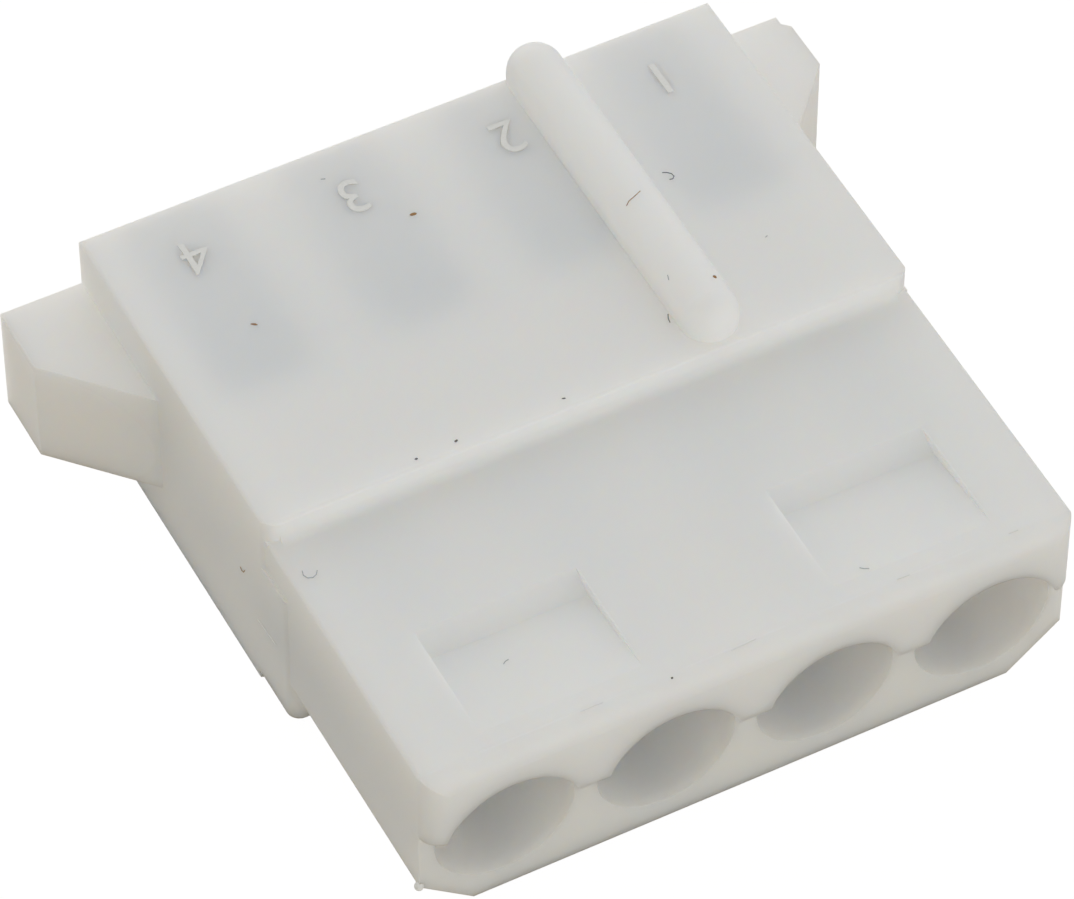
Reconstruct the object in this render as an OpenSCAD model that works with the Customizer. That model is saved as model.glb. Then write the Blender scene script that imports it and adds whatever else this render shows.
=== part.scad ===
/* [Circuits] */
// Number of circuits in the row
circuits = 4; // [3:1:6]
// Spacing between the centre lines of neighbouring circuits
pitch = 5.08; // [4.9:0.02:7]

/* [Cavities] */
// Diameter of the bore at the mating end
bore_d = 4.38; // [3.6:0.02:4.6]
// Depth of the mating bore behind the front lip
bore_l = 10.4; // [7:0.1:12]
// How far the ring that stops the contact stands in from the wire entry's wall
ring_in = 0.25; // [0.1:0.05:0.6]
// Length of the stop ring
ring_l = 2.4; // [1:0.1:3]
// Diameter of the wire entry
entry_d = 4; // [3.55:0.05:4.6]
// Width of the latch relief over each wire entry
relief_w = 2.5; // [1.5:0.05:3]
// Depth of the relief from the rear face
relief_l = 7.1; // [3:0.1:8.2]
// Wall left between the relief and the top of the rear block
relief_roof = 0.6; // [0.4:0.05:1.2]

/* [Walls] */
// Wall at each end of the row, outside the last mating bore
end_wall = 0.48; // [0.35:0.01:1.2]
// Wall under the mating bores
floor_wall = 0.78; // [0.6:0.02:1.5]
// Wall over the mating bores
roof_wall = 1.3; // [0.9:0.05:2]

/* [Nose] */
// Length of the nose, from the front lip to the step on top
nose_l = 9.8; // [8.5:0.05:12]
// Width of the slope on each lower corner of the nose
corner_w = 1.68; // [0.8:0.02:1.9]
// Height of the slope on each lower corner of the nose
corner_h = 1.46; // [0.8:0.02:2]
// How far the lip over the bores stands out from the lower front face
lip_out = 0.56; // [0.3:0.01:1]
// Height of the lip's lower edge over the bore centre lines
lip_rise = 0.76; // [0.3:0.02:1.2]
// Radius on the nose's front edges
nose_r = 0.65; // [0.3:0.05:1]

/* [Cheeks] */
// Start of the cheeks, which fill the sloped corners, behind the front lip
cheek_start = 8.44; // [4:0.02:9.5]
// How far the cheeks and the rear block stand out from the nose's sides
cheek_out = 0.06; // [0.04:0.02:0.6]

/* [Rear block] */
// Length of the moulding, without the overhang of the rib
body_l = 22; // [19:0.1:27]
// Height of the step from the nose up to the block
step_up = 0.76; // [0.3:0.02:1.5]
// Height of the step from the nose down to the block
step_down = 0.38; // [0.3:0.02:1.5]
// Start of the block on the underside, behind the front lip
sole_start = 10.6; // [9.9:0.05:11.5]
// Radius in the corner of the top step
step_r = 0.3; // [0.1:0.05:0.5]
// Radius on the front upright corners of the block and of the cheeks
shoulder_r = 0.4; // [0.2:0.05:0.8]
// Radius on the long edges
edge_r = 0.12; // [0.05:0.01:0.4]

/* [Finger wings] */
// How far each wing stands out from the side
wing_out = 2.61; // [1.5:0.01:4]
// Height of the wings
wing_h = 3.88; // [2:0.02:5]
// Height of the wings' underside over the block's underside
wing_z = 1.88; // [1:0.02:2.5]
// Length of the wings' outer face
wing_flat = 2.3; // [1:0.1:4]
// Length of the slope from the side to the outer face
wing_slope = 2.82; // [1:0.02:4]
// Length of the small step on the right-hand wing's rear outer corner
wing_nick_l = 0.55; // [0.2:0.05:0.9]
// Depth of the small step on the right-hand wing's rear outer corner
wing_nick_d = 0.24; // [0.1:0.02:0.4]

/* [Guide rib] */
// Width of the rib
rib_w = 1.76; // [1:0.02:2.2]
// Height of the rib over the block
rib_h = 1.2; // [0.95:0.05:2]
// Distance of the rib's centre from the last circuit's centre
rib_inset = 3.29; // [2:0.01:4]
// How far the rib's round end stands out past the rear face
rib_over = 0.43; // [0:0.01:0.8]
// Gap between the top step and the rib's front end
rib_gap = 0.2; // [0.1:0.05:2]

/* [Latch grooves] */
// Width of each groove on top of the nose
groove_w = 5.04; // [3:0.02:6]
// Depth of the groove at its lowest line
groove_depth = 0.4; // [0.15:0.05:0.6]
// Distance from the front lip to the start of the groove's ramp
groove_start = 1.15; // [0.9:0.05:2]
// Length of the ramp down to the groove's lowest line
groove_ramp = 3.2; // [1.5:0.05:3.6]
// Length of the slope from the lowest line back up to the top
groove_back = 0.75; // [0.4:0.05:1.2]
// How far each groove is moved outwards from the wall between its two circuits
groove_shift = 0.47; // [0:0.01:1]

/* [Hidden] */
$fn = 96;
cut = 1;
nylon = [0.8, 0.8, 0.78];

ring_d = entry_d - 2 * ring_in;
row_l = pitch * (circuits - 1);
last_x = row_l / 2;
body_w = row_l + bore_d + 2 * end_wall;
side_x = body_w / 2;
block_x = side_x + cheek_out;
block_w = 2 * block_x;
wing_x = block_x + wing_out;
nose_h = floor_wall + bore_d + roof_wall;
nose_z0 = step_down;
nose_z1 = nose_z0 + nose_h;
block_h = nose_z1 + step_up;
axis_z = nose_z0 + floor_wall + bore_d / 2;
lip_z = axis_z + lip_rise;
rib_r = rib_w / 2;
rib_x = last_x - rib_inset;
rib_wall = rib_h - rib_r;
rib_y0 = nose_l + rib_gap + rib_r;
rib_y1 = body_l + rib_over - rib_r;
overall_l = body_l + rib_over;
groove_x = last_x - pitch / 2 + groove_shift;

// Things at the right-hand side, and their mirror image at the left
module both_sides() {
    children();
    mirror([1, 0, 0]) children();
}

// Things drawn in the Y-Z plane and drawn out along X, centred on the row
module along_x(length) {
    rotate([90, 0, 90])
        translate([0, 0, -length / 2])
            linear_extrude(length) children();
}

// Things drawn in the X-Z plane and drawn out along Y, from the front y
module along_y(y, length) {
    translate([0, y + length, 0])
        rotate([90, 0, 0])
            linear_extrude(length) children();
}

// A round bore along Y
module bore(y, length, diameter) {
    translate([0, y, axis_z])
        rotate([-90, 0, 0])
            cylinder(h = length, d = diameter);
}

// What rounding takes off a square edge at 0,0 whose sides run to -X and -Y
module round_waste(r) {
    difference() {
        translate([-r, -r]) square(r + cut);
        translate([-r, -r]) circle(r);
    }
}

// The nose's section, with its two sloped lower corners
module nose_section() {
    polygon([
        [-side_x + corner_w, nose_z0], [side_x - corner_w, nose_z0],
        [side_x, nose_z0 + corner_h], [side_x, nose_z1],
        [-side_x, nose_z1], [-side_x, nose_z0 + corner_h]
    ]);
}

module nose() {
    along_y(lip_out, sole_start - lip_out + cut) nose_section();
}

// The cheek that fills the sloped corner at the right-hand side, in front of the block
module cheek() {
    cheek_l = nose_l - cheek_start + cut;
    cheek_h = nose_h - roof_wall;
    difference() {
        translate([side_x - corner_w, cheek_start, nose_z0])
            cube([corner_w + cheek_out, cheek_l, cheek_h]);
        translate([block_x, cheek_start, 0])
            linear_extrude(block_h) mirror([0, 1]) round_waste(shoulder_r);
    }
}

// The lip that stands out over the mating bores
module lip() {
    along_y(0, lip_out + cut)
        translate([-side_x, lip_z]) square([body_w, nose_z1 - lip_z]);
}

// The rounding of the nose's front edges and long top edges
module nose_waste() {
    along_x(body_w + 2 * cut)
        translate([0, nose_z1]) mirror([1, 0]) round_waste(nose_r);
    both_sides() {
        translate([side_x, 0, lip_z])
            linear_extrude(nose_h) mirror([0, 1]) round_waste(nose_r);
        along_y(-cut, nose_l + cut)
            translate([side_x, nose_z1]) round_waste(edge_r);
    }
}

// The thicker block that the wires enter
module block() {
    difference() {
        union() {
            translate([-block_x, nose_l, nose_z0])
                cube([block_w, body_l - nose_l, block_h - nose_z0]);
            translate([-block_x, sole_start, 0])
                cube([block_w, body_l - sole_start, block_h]);
        }
        both_sides() {
            along_y(nose_l - cut, body_l - nose_l + 2 * cut) {
                translate([block_x, block_h]) round_waste(edge_r);
                translate([block_x, 0]) mirror([0, 1]) round_waste(edge_r);
            }
            translate([block_x, nose_l, -cut])
                linear_extrude(block_h + 2 * cut) mirror([0, 1]) round_waste(shoulder_r);
        }
        along_x(block_w + 2 * cut) {
            translate([body_l, block_h]) round_waste(edge_r);
            translate([nose_l, block_h]) mirror([1, 0]) round_waste(edge_r);
        }
    }
}

// The fillet in the corner of the top step
module step_fillet() {
    along_x(body_w - 2 * shoulder_r)
        translate([nose_l, nose_z1]) difference() {
            translate([-step_r, -step_r]) square([step_r * 2, step_r * 2]);
            translate([-step_r, step_r]) circle(step_r);
        }
}

// The right-hand wing
module wing() {
    wing_y0 = body_l - wing_flat;
    translate([0, 0, wing_z])
        linear_extrude(wing_h)
            polygon([
                [block_x - cut, wing_y0 - wing_slope], [block_x, wing_y0 - wing_slope],
                [wing_x, wing_y0], [wing_x, body_l], [block_x - cut, body_l]
            ]);
}

// What is taken off the right-hand wing's rear outer corner
module wing_nick() {
    translate([0, 0, wing_z - cut])
        linear_extrude(wing_h + 2 * cut)
            polygon([
                [wing_x + cut, body_l - wing_nick_l], [wing_x, body_l - wing_nick_l],
                [wing_x - wing_nick_d, body_l - wing_nick_l + wing_nick_d],
                [wing_x - wing_nick_d, body_l + cut], [wing_x + cut, body_l + cut]
            ]);
}

// The half-round rib on top of the block, with round ends
module rib() {
    translate([rib_x, 0, block_h]) {
        translate([0, rib_y0, rib_wall])
            rotate([-90, 0, 0]) cylinder(h = rib_y1 - rib_y0, r = rib_r);
        translate([-rib_r, rib_y0, -step_r])
            cube([rib_w, rib_y1 - rib_y0, rib_wall + step_r]);
        for (y = [rib_y0, rib_y1]) translate([0, y, 0]) {
            translate([0, 0, rib_wall]) sphere(r = rib_r);
            cylinder(h = rib_wall, r = rib_r);
        }
    }
}

// A wedge-shaped groove that the mating latch drops into
module groove() {
    valley = groove_start + groove_ramp;
    along_x(groove_w)
        polygon([
            [groove_start, nose_z1], [valley, nose_z1 - groove_depth],
            [valley + groove_back, nose_z1], [valley, nose_z1 + cut]
        ]);
}

// One circuit's cavity: mating bore, stop ring, wire entry and latch relief
module cavity() {
    entry_y = bore_l + ring_l;
    bore(-cut, bore_l + cut, bore_d);
    bore(bore_l - cut, ring_l + 2 * cut, ring_d);
    bore(entry_y, body_l - entry_y + cut, entry_d);
    translate([-relief_w / 2, body_l - relief_l, axis_z])
        cube([relief_w, relief_l + cut, block_h - relief_roof - axis_z]);
}

module housing() {
    color(nylon)
        translate([0, -overall_l / 2, 0])
            difference() {
                union() {
                    difference() {
                        union() {
                            nose();
                            lip();
                        }
                        nose_waste();
                    }
                    block();
                    step_fillet();
                    both_sides() {
                        cheek();
                        wing();
                    }
                    rib();
                }
                wing_nick();
                for (i = [0 : circuits - 1])
                    translate([i * pitch - last_x, 0, 0]) cavity();
                both_sides() translate([groove_x, 0, 0]) groove();
            }
}

housing();
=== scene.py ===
import math

import bmesh
import bpy
from bpy.props import FloatProperty, FloatVectorProperty, PointerProperty
from mathutils import Matrix, Vector, noise


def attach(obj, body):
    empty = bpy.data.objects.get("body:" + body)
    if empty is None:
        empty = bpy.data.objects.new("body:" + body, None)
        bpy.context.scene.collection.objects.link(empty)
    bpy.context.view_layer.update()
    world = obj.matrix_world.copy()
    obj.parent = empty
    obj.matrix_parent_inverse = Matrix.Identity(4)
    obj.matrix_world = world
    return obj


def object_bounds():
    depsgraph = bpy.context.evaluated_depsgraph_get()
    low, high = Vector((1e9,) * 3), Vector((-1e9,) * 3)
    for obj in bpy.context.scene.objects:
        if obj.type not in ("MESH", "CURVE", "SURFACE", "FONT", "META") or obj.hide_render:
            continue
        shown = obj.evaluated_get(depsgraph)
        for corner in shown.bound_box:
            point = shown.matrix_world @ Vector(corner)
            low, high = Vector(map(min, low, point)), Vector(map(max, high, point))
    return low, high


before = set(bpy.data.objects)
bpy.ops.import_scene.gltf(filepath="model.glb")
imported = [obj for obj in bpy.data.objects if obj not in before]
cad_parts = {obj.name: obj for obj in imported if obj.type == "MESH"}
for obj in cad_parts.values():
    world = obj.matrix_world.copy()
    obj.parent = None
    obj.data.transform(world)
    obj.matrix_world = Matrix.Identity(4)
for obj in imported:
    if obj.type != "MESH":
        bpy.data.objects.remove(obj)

bl_info = {
    "name": "Plug housing finish",
    "version": (1, 0, 0),
    "blender": (4, 5, 0),
    "location": "View3D > Sidebar > Housing",
    "description": "Finish, circuit numbers, moulding flash, dust and studio for a moulded plug housing",
    "category": "Object",
}

MM = 0.001
HOUSING = "housing"  # the moulding's CAD node
BODY = "root"

# Places on the moulding. Heights are over the rear block's underside, at z = 0.
cad_low, cad_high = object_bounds()
FRONT_Y = cad_low.y  # front plane of the lip; the wires leave towards +Y
CIRCUITS = 4
PITCH = 5.08 * MM
TOP_Z = 7.6 * MM  # top of the rear block
NOSE_Z = 6.84 * MM  # top of the nose
SIDE_X = 10.35 * MM  # flat sides of the nose
AXIS_Z = 3.35 * MM  # axes of the bores
BORE_R = 2.19 * MM
LIP_OUT = 0.56 * MM  # how far the lip stands in front of the front face
LIP_Z = 4.11 * MM  # underside of the lip
RELIEF_HALF = 1.25 * MM  # half the width of a latch relief
RELIEF_START = 14.9 * MM  # distance of the reliefs behind the lip
CORNER_BURR = (-SIDE_X + 0.06 * MM, FRONT_Y + 0.6 * MM, 1.86 * MM)
OUTSIDE = 20 * MM  # a distance from the middle that is clear of the moulding on every side

# Soft edges and patterns of the nylon
BORE_FADE = 0.08 * MM
FRONT_FADE = 0.6 * MM
LIP_FADE = 0.1 * MM
RELIEF_FADE = 0.1 * MM
TOP_FADE = (TOP_Z - 0.2 * MM, TOP_Z - 0.1 * MM)  # heights where the top's tint fades in
SEAM_FADE = (NOSE_Z - 0.3 * MM, NOSE_Z - 0.2 * MM)  # and where the witness line does
CLOUD_SIZE = 5 * MM
CLOUD_RANGE = (0.35, 0.7)  # levels of noise from clear to full
CLOUD_SHARE = 0.4  # how far a cloud goes towards the warm tint
SEAM_BREAKS = 1.6 * MM  # length of the breaks in the witness line
BREAK_RANGE = (0.45, 0.6)
SEAM_HIGHLIGHT = 0.5  # how far the witness line goes towards white, a painted highlight on the real raised line
SEAM_HEIGHT = 2.0  # height of the witness line against the grain
GRAIN_STRENGTH = 0.15
GRAIN_DEPTH = 0.01 * MM
NYLON_IOR = 1.53

# Patterns and finish of the numbers, flash and dirt
MOTTLE_SIZE = 0.1 * MM
MOTTLE_RANGE = (0.3, 0.7)
MOTTLE_SHADE = 0.95
NUMBER_ROUGHNESS = 0.5
FLASH_ROUGHNESS = 0.4
SCUFF_ROUGHNESS = 0.6
DUST_ROUGHNESS = 0.8
SPECK_WOBBLE = 0.35  # how uneven the outline of a speck is, and how many lumps it has
SPECK_LUMPS = 3
DIGIT_SHARE = 0.7  # height of a digit, as a share of its font's size
WELD = 1e-7  # points of a digit closer than this are one point

# Studio
AIM = (0, FRONT_Y + 11.064 * MM, 3.381 * MM)  # the point that the camera looks towards
SHIFT_RIGHT = -0.988 * MM  # how far the camera stands to the side of that line
SHIFT_UP = 0.42 * MM
SENSOR = 36  # millimetres
NEAREST = 10 * MM  # nothing nearer than this to the camera is drawn
FLOOR_HALF = 1.0
SHADOW_FADE = 0.92  # how much of the shadow on the floor the white covers
LOBE_POWER = 2.0  # how closely a soft light gathers round its direction


def circuit_x(index):
    """Where circuit 1, 2, 3 ... stands on the row; circuit 1 is at the +X end."""
    return (CIRCUITS / 2 + 0.5 - index) * PITCH


# Specks on the upper side: x, distance behind the lip, length, width (mm), turn (degrees)
BROWN_SPECKS = (
    (-7.27, 16.75, 0.22, 0.07, -38),
    (-1.31, 18.43, 0.22, 0.1, -8),
    (4.8, 11.42, 0.12, 0.12, 0),
)
DARK_SPECKS = (
    (-5.45, 10.11, 0.1, 0.07, 0),
    (-4.15, 10.18, 0.12, 0.07, 15),
    (-0.73, 10.17, 0.13, 0.04, -20),
    (-2.49, 0.42, 0.07, 0.06, 0),
)
# Threads and scratches on the upper side, point by point: x, distance behind the lip (mm)
BROWN_FIBRES = (
    ((3.86, 15.0), (3.98, 15.08), (4.18, 15.12), (4.42, 15.22)),
)
DARK_FIBRES = (
    ((5.86, 16.52), (5.98, 16.46), (6.08, 16.36), (6.1, 16.24), (6.02, 16.16), (5.92, 16.18)),
    ((3.3, 11.3), (3.33, 11.46), (3.4, 11.6)),
)
SCUFFS = (
    ((4.0, 1.43), (4.1, 1.33), (4.22, 1.27)),
    ((7.3, 12.9), (7.38, 12.93)),
    ((-3.08, 20.9), (-2.95, 20.85)),
    ((-9.84, 8.52), (-9.88, 8.36), (-9.82, 8.22), (-9.68, 8.16), (-9.54, 8.22), (-9.46, 8.34)),
    ((-6.3, 3.15), (-6.22, 3.21), (-6.1, 3.24)),
    ((3.66, 12.05), (3.7, 12.2)),
)
FLASH = (
    ((-5.3, 0.52), (-4.9, 0.53), (-4.6, 0.52)),
    ((-0.6, 0.5), (-0.2, 0.51), (0.2, 0.53)),
    ((4.7, 0.56), (5.1, 0.55)),
    ((8.3, 0.55), (8.6, 0.55)),
)
# Threads on the left side, point by point: distance behind the lip, height (mm)
SIDE_FIBRES = (
    ((11.3, 4.15), (11.38, 3.98), (11.5, 3.92), (11.6, 3.98)),
)
SIDE_FLASH = (
    ((9.35, 2.85), (10.0, 2.78), (10.6, 2.71)),
)

# ---------------------------------------------------------------- sizes and colours


class NylonSettings(bpy.types.PropertyGroup):
    colour: FloatVectorProperty(
        name="Colour", description="Body colour of the nylon", subtype="COLOR", size=3,
        min=0, max=1, default=(0.945, 0.94, 0.922),
    )
    warm: FloatVectorProperty(
        name="Warm tint", description="Colour of the slightly aged patches", subtype="COLOR",
        size=3, min=0, max=1, default=(0.94, 0.927, 0.895),
    )
    # painted light: the bores' walls are coloured lighter than the nylon, standing in for light that
    # passes into them
    cavity: FloatVectorProperty(
        name="Cavities", description="Colour of the walls inside the bores, lightened as painted light",
        subtype="COLOR", size=3, min=0, max=1, default=(0.99, 0.985, 0.97),
    )
    depth: FloatProperty(
        name="Depth", description="How far light travels in the nylon", subtype="DISTANCE",
        unit="LENGTH", default=1.9 * MM, min=0,
    )
    spread: FloatVectorProperty(
        name="Spread", description="Share of the depth for red, green and blue light", size=3,
        min=0, max=2, default=(1.0, 0.85, 0.7),
    )
    translucence: FloatProperty(
        name="Translucence", description="Share of the light that passes through the skin",
        subtype="FACTOR", default=1.0, min=0, max=1,
    )
    roughness: FloatProperty(
        name="Roughness", description="Roughness of the satin surface", subtype="FACTOR",
        default=0.5, min=0, max=1,
    )
    grain: FloatProperty(
        name="Grain", description="Size of the fine grain of the mould surface",
        subtype="DISTANCE", unit="LENGTH", default=0.22 * MM, min=0,
    )
    # painted shade: the recessed front face under the lip is coloured darker and warmer than the nylon
    front_tint: FloatVectorProperty(
        name="Front painted shade", description="Colour of the recessed front face, darkened and warmed as painted shade",
        subtype="COLOR", size=3, min=0, max=1, default=(0.92, 0.905, 0.865),
    )
    # painted shade: the thin wall over the latch reliefs is coloured cooler, standing in for light lost
    # through it
    relief_tint: FloatVectorProperty(
        name="Relief painted shade", description="Painted cool shade on the thin wall over the latch reliefs",
        subtype="COLOR", size=3, min=0, max=1, default=(0.94, 0.97, 0.97),
    )
    relief_share: FloatProperty(
        name="Relief shade share", description="How strongly the thin wall takes its painted shade",
        subtype="FACTOR", default=0.1, min=0, max=1,
    )
    seam: FloatProperty(
        name="Seam", description="Distance of the mould's witness line behind the front lip",
        subtype="DISTANCE", unit="LENGTH", default=0.55 * MM, min=0,
    )
    seam_width: FloatProperty(
        name="Seam width", description="Width of the witness line", subtype="DISTANCE",
        unit="LENGTH", default=0.04 * MM, min=0,
    )


class NumberSettings(bpy.types.PropertyGroup):
    height: FloatProperty(
        name="Height", description="Height of a circuit number", subtype="DISTANCE",
        unit="LENGTH", default=1.3 * MM, min=0,
    )
    relief: FloatProperty(
        name="Relief", description="How far the numbers stand up from the top",
        subtype="DISTANCE", unit="LENGTH", default=0.022 * MM, min=0,
    )
    edge: FloatProperty(
        name="Edge", description="Width of the soft edge round the numbers", subtype="DISTANCE",
        unit="LENGTH", default=0.012 * MM, min=0,
    )
    colour: FloatVectorProperty(
        name="Colour", description="Colour of the numbers and of thin flash", subtype="COLOR",
        size=3, min=0, max=1, default=(0.885, 0.885, 0.87),
    )
    back: FloatProperty(
        name="From the front", description="Distance of the numbers behind the front lip",
        subtype="DISTANCE", unit="LENGTH", default=19.85 * MM, min=0,
    )


class DirtSettings(bpy.types.PropertyGroup):
    brown: FloatVectorProperty(
        name="Brown", description="Colour of the brown specks and fibres", subtype="COLOR",
        size=3, min=0, max=1, default=(0.36, 0.2, 0.08),
    )
    dark: FloatVectorProperty(
        name="Dark", description="Colour of the dark specks and fibres", subtype="COLOR",
        size=3, min=0, max=1, default=(0.14, 0.14, 0.14),
    )
    grey: FloatVectorProperty(
        name="Grey", description="Colour of the scuffs", subtype="COLOR", size=3, min=0, max=1,
        default=(0.45, 0.46, 0.48),
    )
    thickness: FloatProperty(
        name="Thickness", description="How far a speck stands up from the surface",
        subtype="DISTANCE", unit="LENGTH", default=0.03 * MM, min=0,
    )
    fibre: FloatProperty(
        name="Fibre", description="Radius of a fibre", subtype="DISTANCE", unit="LENGTH",
        default=0.013 * MM, min=0,
    )
    burr: FloatProperty(
        name="Burr", description="Radius of the bead of flash at the front left corner",
        subtype="DISTANCE", unit="LENGTH", default=0.14 * MM, min=0,
    )


class StageSettings(bpy.types.PropertyGroup):
    azimuth: FloatProperty(
        name="Azimuth", description="Direction the camera stands in", subtype="ANGLE",
        default=math.radians(-27.629),
    )
    elevation: FloatProperty(
        name="Elevation", description="Height of the camera over the horizon", subtype="ANGLE",
        default=math.radians(49.739),
    )
    distance: FloatProperty(
        name="Distance", description="Distance from the camera to the aim point",
        subtype="DISTANCE", unit="LENGTH", default=198.689 * MM,
    )
    focal: FloatProperty(
        name="Focal length", description="Focal length of the camera's lens, in millimetres",
        default=230.38, min=1,
    )
    floor: FloatVectorProperty(
        name="Floor", description="Colour of the floor", subtype="COLOR", size=3, min=0, max=1,
        default=(0.6, 0.54, 0.44),
    )
    gap: FloatProperty(
        name="Gap", description="Gap between the moulding's underside and the floor",
        subtype="DISTANCE", unit="LENGTH", default=0.02 * MM, min=0,
    )
    white: FloatProperty(
        name="White", description="How white the floor shows to the camera", default=1.07, min=0,
    )
    overhead: FloatVectorProperty(
        name="Overhead", description="Colour and strength of the soft light from above",
        subtype="COLOR", size=3, min=0, default=(0.3, 0.305, 0.295),
    )
    left: FloatVectorProperty(
        name="Left", description="Colour and strength of the soft light from the left",
        subtype="COLOR", size=3, min=0, default=(0.32, 0.3, 0.25),
    )
    front: FloatVectorProperty(
        name="Front", description="Colour and strength of the soft light from the front",
        subtype="COLOR", size=3, min=0, default=(1.43, 1.42, 1.37),
    )
    right: FloatVectorProperty(
        name="Right", description="Colour and strength of the soft light from the right",
        subtype="COLOR", size=3, min=0, default=(0.6, 0.6, 0.6),
    )
    back: FloatVectorProperty(
        name="Back", description="Colour and strength of the soft light from behind",
        subtype="COLOR", size=3, min=0, default=(1.76, 1.77, 1.76),
    )


# ---------------------------------------------------------------- helpers


def node(tree, kind, x, y, inputs=None, **settings):
    """A shader node with its settings and unlinked input values."""
    made = tree.nodes.new(kind)
    made.location = (x, y)
    for name, value in settings.items():
        setattr(made, name, value)
    for name, value in (inputs or {}).items():
        made.inputs[name].default_value = value
    return made


def new_material(name):
    """An empty node material: (material, tree, output node)."""
    material = bpy.data.materials.new(name)
    material.use_nodes = True
    tree = material.node_tree
    tree.nodes.clear()
    return material, tree, node(tree, "ShaderNodeOutputMaterial", 900, 0)


def add_piece(name, mesh_data, material):
    """Links a finished mesh as a piece that rides on the housing's body."""
    piece = bpy.data.objects.new(name, mesh_data)
    bpy.context.scene.collection.objects.link(piece)
    mesh_data.materials.clear()
    mesh_data.materials.append(material)
    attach(piece, BODY)
    return piece


def finished_mesh(name, bm):
    """The mesh of a bmesh, which is freed."""
    mesh_data = bpy.data.meshes.new(name)
    bm.to_mesh(mesh_data)
    bm.free()
    return mesh_data


def curve_mesh(name, curve):
    """The mesh of a curve or of text."""
    drawn = bpy.data.objects.new(name, curve)
    mesh_data = bpy.data.meshes.new_from_object(drawn)
    bpy.data.objects.remove(drawn)
    return mesh_data


def ground(start, direction):
    """The point and the normal where a mark lies, seen from start in a direction."""
    hit, point, normal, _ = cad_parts[HOUSING].ray_cast(start, direction)
    if not hit:
        raise RuntimeError(f"nothing under the mark seen from {tuple(start)}")
    return point, normal


def from_above(x, behind):
    """A mark's place on the upper side: x and the distance behind the front lip."""
    return ground(Vector((x * MM, FRONT_Y + behind * MM, OUTSIDE)), Vector((0, 0, -1)))


def from_left(behind, height):
    """A mark's place on the left side: distance behind the front lip, and height."""
    return ground(Vector((-OUTSIDE, FRONT_Y + behind * MM, height * MM)), Vector((1, 0, 0)))


def add_specks(name, specks, thickness, material):
    """Small uneven flat blobs: x, distance behind the lip, length, width, turn in degrees."""
    bm = bmesh.new()
    for x, behind, length, width, turn in specks:
        point, normal = from_above(x, behind)
        made = bmesh.ops.create_icosphere(bm, subdivisions=2, radius=0.5)["verts"]
        for vertex in made:
            lump = noise.noise(vertex.co * SPECK_LUMPS + point / MM)
            vertex.co *= 1 + SPECK_WOBBLE * lump
        size = Matrix.Diagonal((length * MM, width * MM, 2 * thickness, 1))
        stand = normal.to_track_quat("Z", "Y").to_matrix().to_4x4()
        spin = Matrix.Rotation(math.radians(turn), 4, "Z")
        bmesh.ops.transform(
            bm, matrix=Matrix.Translation(point) @ stand @ spin @ size, verts=made
        )
    return add_piece(name, finished_mesh(name, bm), material)


def add_fibres(name, fibres, radius, material, place=from_above):
    """Thin round threads, each drawn through points that place() puts on the moulding."""
    curve = bpy.data.curves.new(name, "CURVE")
    curve.dimensions = "3D"
    curve.bevel_depth = radius
    curve.bevel_resolution = 2
    curve.use_fill_caps = True
    for fibre in fibres:
        spline = curve.splines.new("POLY")
        spline.points.add(len(fibre) - 1)
        for spot, where in zip(spline.points, fibre):
            point, normal = place(*where)
            spot.co = (*(point + normal * radius / 2), 1)
    return add_piece(name, curve_mesh(name, curve), material)


# ---------------------------------------------------------------- materials


def maths(tree, operation, x, y, *sources):
    """A math node fed by numbers or by other nodes' outputs."""
    made = node(tree, "ShaderNodeMath", x, y, operation=operation)
    for socket, source in zip(made.inputs, sources):
        if isinstance(source, (int, float)):
            socket.default_value = source
        else:
            tree.links.new(source, socket)
    return made.outputs[0]


def ramp(tree, x, y, source, low, high, start=0.0, end=1.0):
    """A clamped linear ramp of a value, from start at low to end at high."""
    made = node(
        tree, "ShaderNodeMapRange", x, y,
        {"From Min": low, "From Max": high, "To Min": start, "To Max": end},
    )
    tree.links.new(source, made.inputs["Value"])
    return made.outputs["Result"]


def texture(tree, x, y, place, size, detail, rough=0.5):
    """Fine noise in the object's own coordinates; size is the size of one blotch."""
    made = node(
        tree, "ShaderNodeTexNoise", x, y,
        {"Scale": 1 / size, "Detail": detail, "Roughness": rough},
    )
    tree.links.new(place, made.inputs["Vector"])
    return made.outputs["Fac"]


def blend(tree, x, y, factor, low, high):
    """Mixes two colours, given as values or as outputs, by a factor."""
    made = node(tree, "ShaderNodeMix", x, y, data_type="RGBA")
    tree.links.new(factor, made.inputs["Factor"])
    for name, source in (("A", low), ("B", high)):
        if isinstance(source, bpy.types.NodeSocket):
            tree.links.new(source, made.inputs[name])
        else:
            made.inputs[name].default_value = (*source, 1)
    return made.outputs["Result"]


def across_circuit(tree, y, split):
    """Distance to the side of the nearest circuit's axis."""
    shifted = maths(tree, "ADD", -1600, y, split.outputs["X"], PITCH / 2)
    return maths(tree, "WRAP", -1400, y, shifted, PITCH / 2, -PITCH / 2)


def bore_mask(tree, split):
    """One on the walls inside the bores, zero elsewhere: where painted light brightens the walls."""
    across = across_circuit(tree, 600, split)
    height = maths(tree, "SUBTRACT", -1400, 450, split.outputs["Z"], AXIS_Z)
    radius = maths(
        tree, "SQRT", -1000, 550,
        maths(
            tree, "ADD", -1200, 550,
            maths(tree, "MULTIPLY", -1300, 600, across, across),
            maths(tree, "MULTIPLY", -1300, 450, height, height),
        ),
    )
    return ramp(tree, -800, 550, radius, BORE_R, BORE_R + BORE_FADE, 1.0, 0.0)


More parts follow.
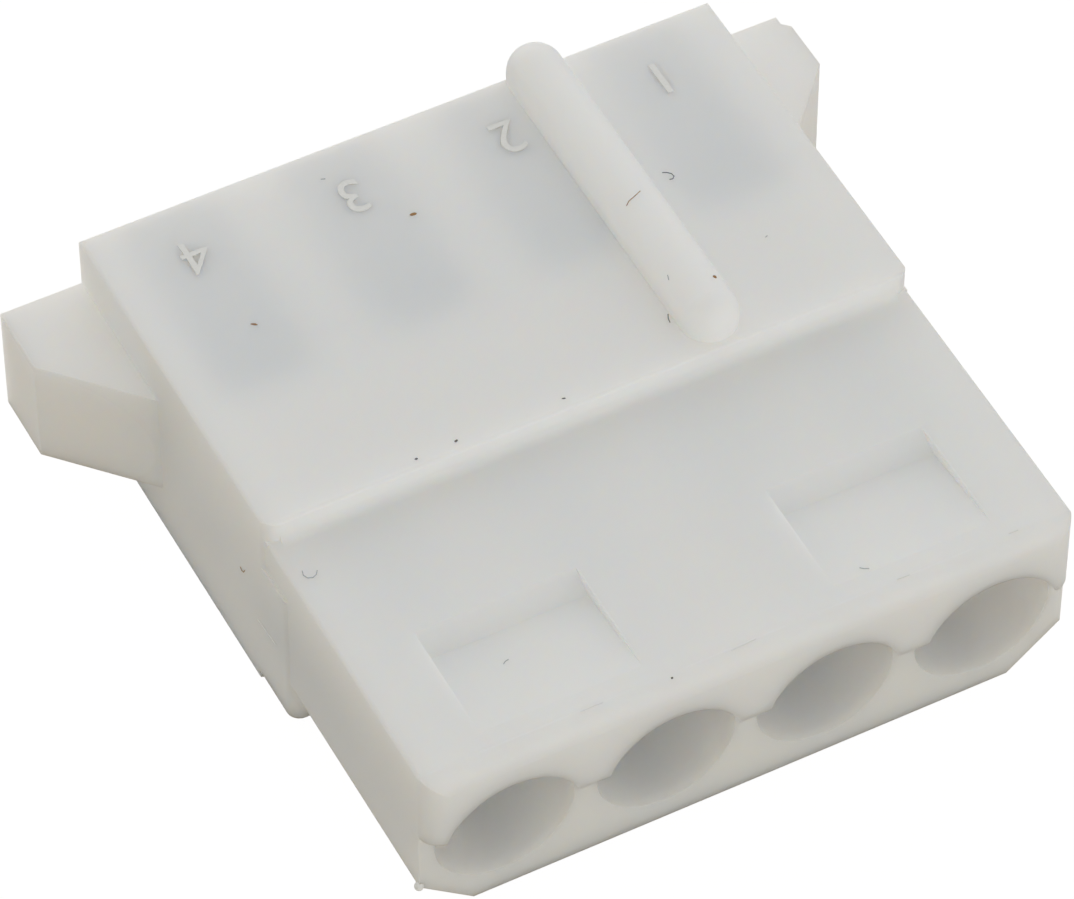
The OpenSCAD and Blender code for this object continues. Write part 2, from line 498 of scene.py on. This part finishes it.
def front_mask(tree, split):
    """One on the recessed front face and on the nose's underside, zero elsewhere: where painted shade
    darkens the colour under the lip.
    """
    face = FRONT_Y + LIP_OUT
    near = ramp(tree, -1000, 1300, split.outputs["Y"], face, face + FRONT_FADE, 1.0, 0.0)
    low = ramp(tree, -1000, 1150, split.outputs["Z"], LIP_Z - LIP_FADE, LIP_Z, 1.0, 0.0)
    return maths(tree, "MULTIPLY", -600, 1200, near, low)


def relief_mask(tree, split):
    """One on the top where the wall over the latch reliefs is thin, zero elsewhere: where a painted cool
    shade falls.
    """
    away = maths(tree, "ABSOLUTE", -1200, 1000, across_circuit(tree, 1000, split))
    inside = ramp(tree, -1000, 1000, away, RELIEF_HALF, RELIEF_HALF + RELIEF_FADE, 1.0, 0.0)
    start = FRONT_Y + RELIEF_START
    behind = ramp(tree, -1000, 850, split.outputs["Y"], start, start + RELIEF_FADE)
    above = ramp(tree, -1000, 700, split.outputs["Z"], *TOP_FADE)
    return maths(
        tree, "MULTIPLY", -600, 900, maths(tree, "MULTIPLY", -800, 900, inside, behind), above
    )


def seam_mask(tree, split, place, look):
    """One on the broken witness line across the front of the nose's top."""
    away = maths(
        tree, "ABSOLUTE", -1200, -500,
        maths(tree, "SUBTRACT", -1400, -500, split.outputs["Y"], FRONT_Y + look.seam),
    )
    line = ramp(tree, -1000, -500, away, 0.0, look.seam_width, 1.0, 0.0)
    above = ramp(tree, -1000, -700, split.outputs["Z"], *SEAM_FADE)
    breaks = texture(tree, -1200, -900, place, SEAM_BREAKS, 2.0)
    broken = ramp(tree, -1000, -900, breaks, *BREAK_RANGE)
    return maths(
        tree, "MULTIPLY", -600, -600, maths(tree, "MULTIPLY", -800, -600, line, above), broken
    )


def nylon_material(look):
    """Milky, slightly translucent natural nylon with a satin skin."""
    material, tree, out = new_material("natural nylon")
    place = node(tree, "ShaderNodeTexCoord", -2000, 0).outputs["Object"]
    split = node(tree, "ShaderNodeSeparateXYZ", -1800, 0)
    tree.links.new(place, split.inputs["Vector"])
    cloud = texture(tree, -900, 250, place, CLOUD_SIZE, 3.0)
    warmth = ramp(tree, -650, 250, cloud, *CLOUD_RANGE, 0.0, CLOUD_SHARE)
    colour = blend(tree, -400, 250, warmth, look.colour, look.warm)
    # painted light: the walls inside the bores are lightened, standing in for light that passes into
    # them
    colour = blend(tree, -200, 250, bore_mask(tree, split), colour, look.cavity)
    # painted shade: the recessed front face and the nose's underside are darkened, as if shaded by the
    # lip
    colour = blend(tree, -150, 250, front_mask(tree, split), colour, look.front_tint)
    # painted shade: the top over the latch reliefs takes a cool, slightly darker colour, standing in for
    # the light lost through the thin wall
    thin = maths(tree, "MULTIPLY", -400, 500, relief_mask(tree, split), look.relief_share)
    colour = blend(tree, -100, 250, thin, colour, look.relief_tint)
    seam = seam_mask(tree, split, place, look)
    # painted highlight: the raised witness line is coloured towards white, standing in for the glint
    # along it
    pale = maths(tree, "MULTIPLY", -200, 50, seam, SEAM_HIGHLIGHT)
    colour = blend(tree, 0, 250, pale, colour, (1, 1, 1))
    grain = texture(tree, -900, -250, place, look.grain, 2.0, 0.6)
    raised = maths(tree, "MULTIPLY", -750, -350, seam, SEAM_HEIGHT)
    height = maths(tree, "ADD", -600, -250, raised, grain)
    bump = node(
        tree, "ShaderNodeBump", -400, -250, {"Strength": GRAIN_STRENGTH, "Distance": GRAIN_DEPTH}
    )
    shader = node(
        tree, "ShaderNodeBsdfPrincipled", 300, 0,
        {
            "Roughness": look.roughness,
            "IOR": NYLON_IOR,
            "Subsurface Weight": look.translucence,
            "Subsurface Radius": tuple(look.spread),
            "Subsurface Scale": look.depth,
        },
        subsurface_method="RANDOM_WALK",
    )
    tree.links.new(colour, shader.inputs["Base Color"])
    tree.links.new(height, bump.inputs["Height"])
    tree.links.new(bump.outputs["Normal"], shader.inputs["Normal"])
    tree.links.new(shader.outputs["BSDF"], out.inputs["Surface"])
    return material


def plain_material(name, colour, roughness):
    """A matt material with a trace of mottling, for numbers, flash and dirt."""
    material, tree, out = new_material(name)
    place = node(tree, "ShaderNodeTexCoord", -900, 0).outputs["Object"]
    spots = texture(tree, -650, 0, place, MOTTLE_SIZE, 2.0)
    mottle = ramp(tree, -400, 0, spots, *MOTTLE_RANGE)
    darker = tuple(MOTTLE_SHADE * value for value in colour)
    shader = node(
        tree, "ShaderNodeBsdfPrincipled", 300, 0, {"Roughness": roughness, "IOR": NYLON_IOR}
    )
    tree.links.new(blend(tree, 0, 0, mottle, tuple(colour), darker), shader.inputs["Base Color"])
    tree.links.new(shader.outputs["BSDF"], out.inputs["Surface"])
    return material


def mix_shaders(tree, x, y, factor, first, second):
    """Mixes two shaders by a factor, given as a value or as an output."""
    made = node(tree, "ShaderNodeMixShader", x, y)
    if isinstance(factor, bpy.types.NodeSocket):
        tree.links.new(factor, made.inputs["Fac"])
    else:
        made.inputs["Fac"].default_value = factor
    tree.links.new(first, made.inputs[1])
    tree.links.new(second, made.inputs[2])
    return made.outputs["Shader"]


def backdrop_output(tree, white, lit):
    """Mixes what the camera and reflections see with what lights the scene."""
    rays = node(tree, "ShaderNodeLightPath", -900, 300).outputs
    seen = maths(tree, "MAXIMUM", -650, 300, rays["Is Camera Ray"], rays["Is Glossy Ray"])
    seen = maths(tree, "MAXIMUM", -450, 300, seen, rays["Is Transmission Ray"])
    return mix_shaders(tree, 300, 0, seen, lit, white)


def floor_material(stage):
    """Plain pale floor, seen from above only, that keeps a soft trace of the object's shadow."""
    material, tree, out = new_material("pale floor")
    lit = node(tree, "ShaderNodeBsdfDiffuse", -300, 100, {"Color": (*stage.floor, 1)}).outputs[0]
    glow = node(
        tree, "ShaderNodeEmission", -300, -100, {"Color": (1, 1, 1, 1), "Strength": stage.white}
    ).outputs[0]
    soft = mix_shaders(tree, 0, -100, SHADOW_FADE, lit, glow)
    seen = backdrop_output(tree, soft, lit)
    below = node(tree, "ShaderNodeNewGeometry", 300, -250).outputs["Backfacing"]
    clear = node(tree, "ShaderNodeBsdfTransparent", 300, -150).outputs[0]
    one_sided = mix_shaders(tree, 600, 0, below, seen, clear)
    tree.links.new(one_sided, out.inputs["Surface"])
    return material


def studio_world(stage):
    """Even soft light from all round, white to the camera."""
    world = bpy.data.worlds.new("studio")
    world.use_nodes = True
    tree = world.node_tree
    tree.nodes.clear()
    out = node(tree, "ShaderNodeOutputWorld", 900, 0)
    lit = node(tree, "ShaderNodeBackground", 0, 100, {"Strength": 1.0})
    white = node(
        tree, "ShaderNodeBackground", 0, -100, {"Color": (1, 1, 1, 1), "Strength": 1.0}
    )
    towards_sky = node(tree, "ShaderNodeTexCoord", -1500, 100).outputs["Generated"]
    total = None
    softboxes = (
        ((0, 0, 1), stage.overhead),
        ((-1, 0, 0), stage.left),
        ((0, -1, 0), stage.front),
        ((1, 0, 0), stage.right),
        ((0, 1, 0), stage.back),
    )
    for towards, colour in softboxes:
        facing = node(
            tree, "ShaderNodeVectorMath", -1250, 100, {1: towards}, operation="DOT_PRODUCT"
        )
        tree.links.new(towards_sky, facing.inputs[0])
        ahead = maths(tree, "MAXIMUM", -1000, 100, facing.outputs["Value"], 0.0)
        lobe = maths(tree, "POWER", -750, 100, ahead, LOBE_POWER)
        share = node(
            tree, "ShaderNodeVectorMath", -500, 100, {1: tuple(colour), 2: (0, 0, 0)},
            operation="MULTIPLY_ADD",
        )
        tree.links.new(lobe, share.inputs[0])
        if total:
            tree.links.new(total, share.inputs[2])
        total = share.outputs["Vector"]
    tree.links.new(total, lit.inputs["Color"])
    seen = backdrop_output(tree, white.outputs[0], lit.outputs[0])
    tree.links.new(seen, out.inputs["Surface"])
    bpy.context.scene.world = world


# ---------------------------------------------------------------- operators


class HOUSING_OT_nylon(bpy.types.Operator):
    """Give the moulding its nylon finish"""

    bl_idname = "housing.nylon"
    bl_label = "Nylon finish"

    def execute(self, context):
        material = nylon_material(context.scene.nylon_settings)
        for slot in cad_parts[HOUSING].material_slots:
            slot.material = material
        return {"FINISHED"}


class HOUSING_OT_numbers(bpy.types.Operator):
    """Mould the circuit numbers on top, near the wire end"""

    bl_idname = "housing.numbers"
    bl_label = "Circuit numbers"

    def execute(self, context):
        sizes = context.scene.number_settings
        material = plain_material("moulded number", sizes.colour, NUMBER_ROUGHNESS)
        for index in range(1, CIRCUITS + 1):
            curve = bpy.data.curves.new("number", "FONT")
            curve.body = str(index)
            curve.align_x = "CENTER"
            curve.size = sizes.height / DIGIT_SHARE
            curve.extrude = sizes.relief - sizes.edge
            curve.bevel_depth = sizes.edge
            curve.offset = -sizes.edge
            mesh_data = curve_mesh("number", curve)
            bm = bmesh.new()
            bm.from_mesh(mesh_data)
            bmesh.ops.remove_doubles(bm, verts=bm.verts, dist=WELD)
            bmesh.ops.triangulate(bm, faces=bm.faces)
            place = Matrix.Translation(
                (circuit_x(index), FRONT_Y + sizes.back + sizes.height / 2, TOP_Z)
            )
            turned = Matrix.Rotation(math.pi, 4, "Z")
            bmesh.ops.transform(bm, matrix=place @ turned, verts=bm.verts)
            bmesh.ops.recalc_face_normals(bm, faces=bm.faces)
            bm.to_mesh(mesh_data)
            bm.free()
            add_piece(f"circuit_number_{index}", mesh_data, material)
        return {"FINISHED"}


class HOUSING_OT_dirt(bpy.types.Operator):
    """Lay the specks, fibres, scuffs and flash on the moulding"""

    bl_idname = "housing.dirt"
    bl_label = "Specks and scuffs"

    def execute(self, context):
        look = context.scene.dirt_settings
        flash_colour = context.scene.number_settings.colour
        brown = plain_material("brown dust", look.brown, DUST_ROUGHNESS)
        dark = plain_material("dark dust", look.dark, DUST_ROUGHNESS)
        grey = plain_material("scuffed nylon", look.grey, SCUFF_ROUGHNESS)
        flash = plain_material("thin flash", flash_colour, FLASH_ROUGHNESS)
        add_specks("brown_specks", BROWN_SPECKS, look.thickness, brown)
        add_specks("dark_specks", DARK_SPECKS, look.thickness, dark)
        add_fibres("brown_fibres", BROWN_FIBRES, look.fibre, brown)
        add_fibres("dark_fibres", DARK_FIBRES, look.fibre, dark)
        add_fibres("scuffs", SCUFFS, look.fibre, grey)
        add_fibres("front_flash", FLASH, look.fibre, flash)
        add_fibres("side_fibres", SIDE_FIBRES, look.fibre, brown, from_left)
        add_fibres("side_flash", SIDE_FLASH, look.fibre, flash, from_left)
        bm = bmesh.new()
        bmesh.ops.create_icosphere(bm, subdivisions=3, radius=look.burr)
        bmesh.ops.translate(bm, vec=CORNER_BURR, verts=bm.verts)
        add_piece("corner_burr", finished_mesh("corner_burr", bm), flash)
        return {"FINISHED"}


class HOUSING_OT_stage(bpy.types.Operator):
    """Set up the floor, the soft light and the camera"""

    bl_idname = "housing.stage"
    bl_label = "Studio"

    def execute(self, context):
        stage = context.scene.stage_settings
        scene = context.scene
        scene.view_settings.view_transform = "Standard"
        studio_world(stage)

        bm = bmesh.new()
        bmesh.ops.create_grid(bm, x_segments=1, y_segments=1, size=FLOOR_HALF)
        floor = bpy.data.objects.new("floor", finished_mesh("floor", bm))
        floor.location.z = -stage.gap
        scene.collection.objects.link(floor)
        floor.data.materials.append(floor_material(stage))

        az, el = stage.azimuth, stage.elevation
        back = Vector((math.sin(az) * math.cos(el), -math.cos(az) * math.cos(el), math.sin(el)))
        right = Vector((math.cos(az), math.sin(az), 0))
        up = back.cross(right)
        camera_data = bpy.data.cameras.new("camera")
        camera_data.sensor_width = SENSOR
        camera_data.lens = stage.focal
        camera_data.clip_start = NEAREST
        camera = bpy.data.objects.new("camera", camera_data)
        scene.collection.objects.link(camera)
        rotation = Matrix((right, up, back)).transposed().to_4x4()
        centre = Vector(AIM) + SHIFT_RIGHT * right + SHIFT_UP * up + stage.distance * back
        camera.matrix_world = Matrix.Translation(centre) @ rotation
        scene.camera = camera
        return {"FINISHED"}


class HOUSING_PT_panel(bpy.types.Panel):
    """Lists each step with its sizes and colours"""

    bl_label = "Plug housing"
    bl_idname = "HOUSING_PT_panel"
    bl_space_type = "VIEW_3D"
    bl_region_type = "UI"
    bl_category = "Housing"

    def draw(self, context):
        for operator, settings in STEPS:
            self.layout.operator(operator.bl_idname)
            group = getattr(context.scene, settings)
            for name in group.bl_rna.properties.keys():
                if name not in ("rna_type", "name"):
                    self.layout.prop(group, name)


STEPS = (
    (HOUSING_OT_nylon, "nylon_settings"),
    (HOUSING_OT_numbers, "number_settings"),
    (HOUSING_OT_dirt, "dirt_settings"),
    (HOUSING_OT_stage, "stage_settings"),
)
SETTINGS = {
    "nylon_settings": NylonSettings,
    "number_settings": NumberSettings,
    "dirt_settings": DirtSettings,
    "stage_settings": StageSettings,
}
CLASSES = (*SETTINGS.values(), *(step[0] for step in STEPS), HOUSING_PT_panel)


def register():
    for made in CLASSES:
        bpy.utils.register_class(made)
    for name, group in SETTINGS.items():
        setattr(bpy.types.Scene, name, PointerProperty(type=group))


def unregister():
    for name in SETTINGS:
        delattr(bpy.types.Scene, name)
    for made in reversed(CLASSES):
        bpy.utils.unregister_class(made)


def main():
    register()
    bpy.ops.housing.nylon()
    bpy.ops.housing.numbers()
    bpy.ops.housing.dirt()
    bpy.ops.housing.stage()


if __name__ == "__main__":
    main()
